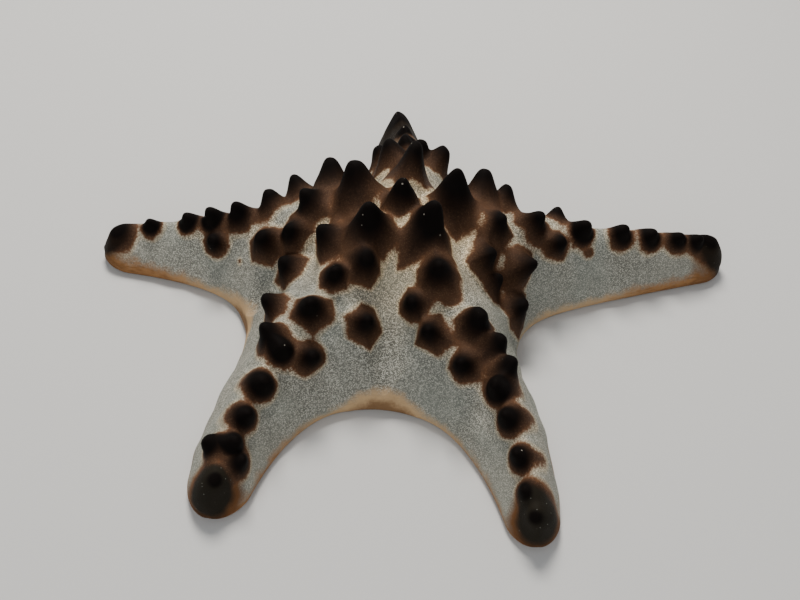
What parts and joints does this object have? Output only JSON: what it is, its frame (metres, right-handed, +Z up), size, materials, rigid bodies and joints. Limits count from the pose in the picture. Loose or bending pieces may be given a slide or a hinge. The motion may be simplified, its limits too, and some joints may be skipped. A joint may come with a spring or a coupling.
{
  "type": "horned sea star",
  "caption": "Life-size horned sea star with a domed disc, tapering roof-shaped arms and blunt dark horns, lying flat on its mouth side as a still display model.",
  "frame": {"origin": "middle of the footprint, on the floor", "axes": "+Z up from the mouth side, -Y towards the two front arms, +X towards the right arm"},
  "size_m": [0.2706, 0.2304, 0.0686],
  "materials": {
    "skin": "granular grey-beige skin, dark brown horns with warm brown halos, orange-tan rim"
  },
  "bodies": {
    "root": {"disc": "skin", "arm_right": "skin", "arm_back": "skin", "arm_left": "skin", "arm_front_left": "skin", "arm_front_right": "skin"}
  },
  "joints": []
}
